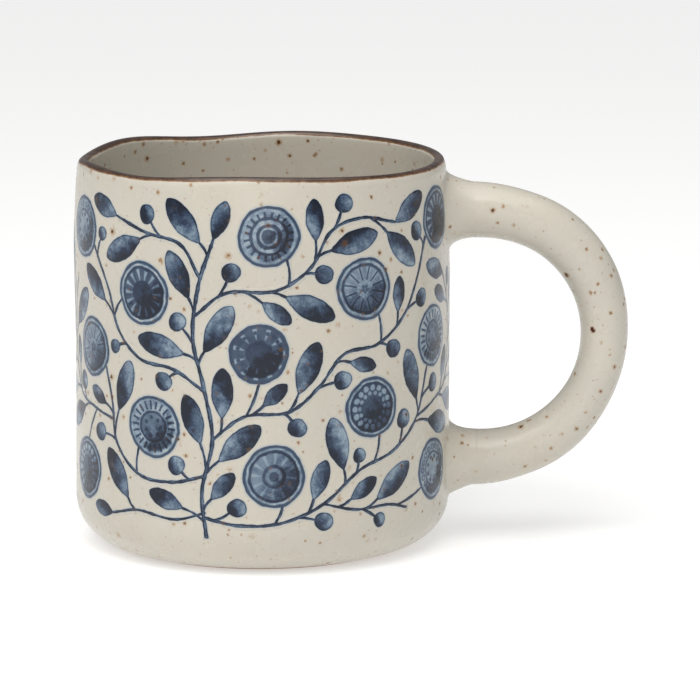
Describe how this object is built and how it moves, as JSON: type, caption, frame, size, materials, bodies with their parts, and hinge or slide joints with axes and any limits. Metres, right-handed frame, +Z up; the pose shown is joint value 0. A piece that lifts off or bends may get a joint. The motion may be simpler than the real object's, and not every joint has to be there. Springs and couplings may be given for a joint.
{
  "type": "mug",
  "caption": "Round stoneware mug with an uneven iron-glazed lip, a turned foot ring, a D-shaped loop handle and an indigo painted flower pattern.",
  "frame": {"origin": "on the cup's axis, in the plane that the foot ring stands on", "axes": "+Z up along the cup's axis, +X out through the middle of the handle"},
  "size_m": [0.1298, 0.088, 0.0919],
  "materials": {
    "speckled_glaze": "satin-gloss cream-grey glaze with brown iron speckles",
    "iron_rim_glaze": "glossy dark brown iron glaze, broken to orange where it is thin",
    "bare_clay": "matt bare fired clay",
    "indigo_underglaze": "indigo brushwork under the glaze, darker where the pigment pools"
  },
  "bodies": {
    "root": {"cup_body": "speckled_glaze", "handle": "speckled_glaze", "upper_slip_bead": "speckled_glaze", "lower_slip_bead": "speckled_glaze", "rim_band": "iron_rim_glaze", "foot_ring": "bare_clay"}
  },
  "joints": []
}
